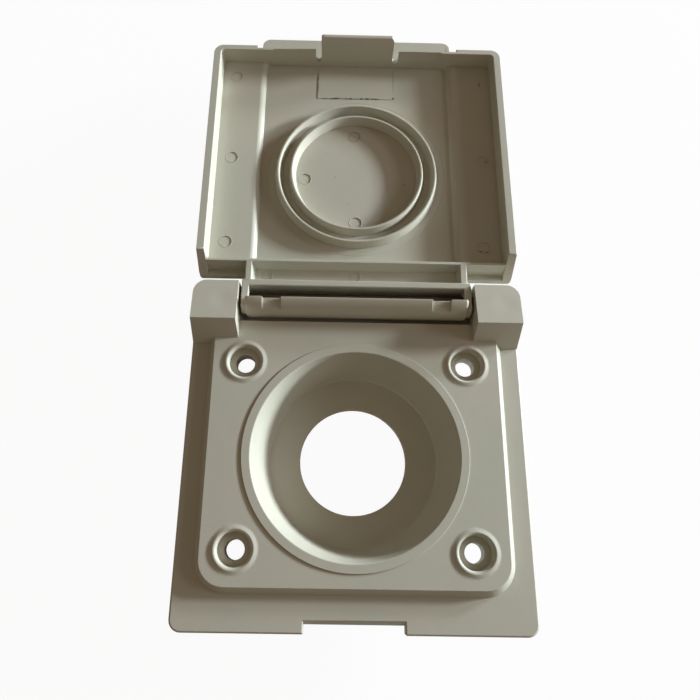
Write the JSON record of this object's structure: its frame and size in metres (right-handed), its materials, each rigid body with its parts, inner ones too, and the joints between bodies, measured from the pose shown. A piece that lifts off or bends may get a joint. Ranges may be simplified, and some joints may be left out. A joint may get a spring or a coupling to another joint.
{
  "type": "hinged inlet housing",
  "caption": "Square panel housing with a deep round cup, raised screw bosses and a hinged snap lid folded right back, showing its two sealing rings.",
  "frame": {"origin": "centre of the four screw holes and of the cup, on the back face that lies on the panel", "axes": "+Z away from the panel towards the viewer, +Y from the cup to the hinge, +X along the hinge to the right"},
  "size_m": [0.09, 0.1805, 0.026],
  "materials": {
    "housing_plastic": "satin, finely textured",
    "pin_steel": "dull"
  },
  "bodies": {
    "base": {"base_housing": "housing_plastic", "hinge_pin": "pin_steel"},
    "lid": {"lid": "housing_plastic"}
  },
  "joints": [
    {"name": "lid_hinge", "type": "hinge", "parent": "base", "child": "lid", "pos_m": [0, 0.0423, 0.0068], "axis": [1, 0, 0], "range_deg": [0, 180]}
  ]
}
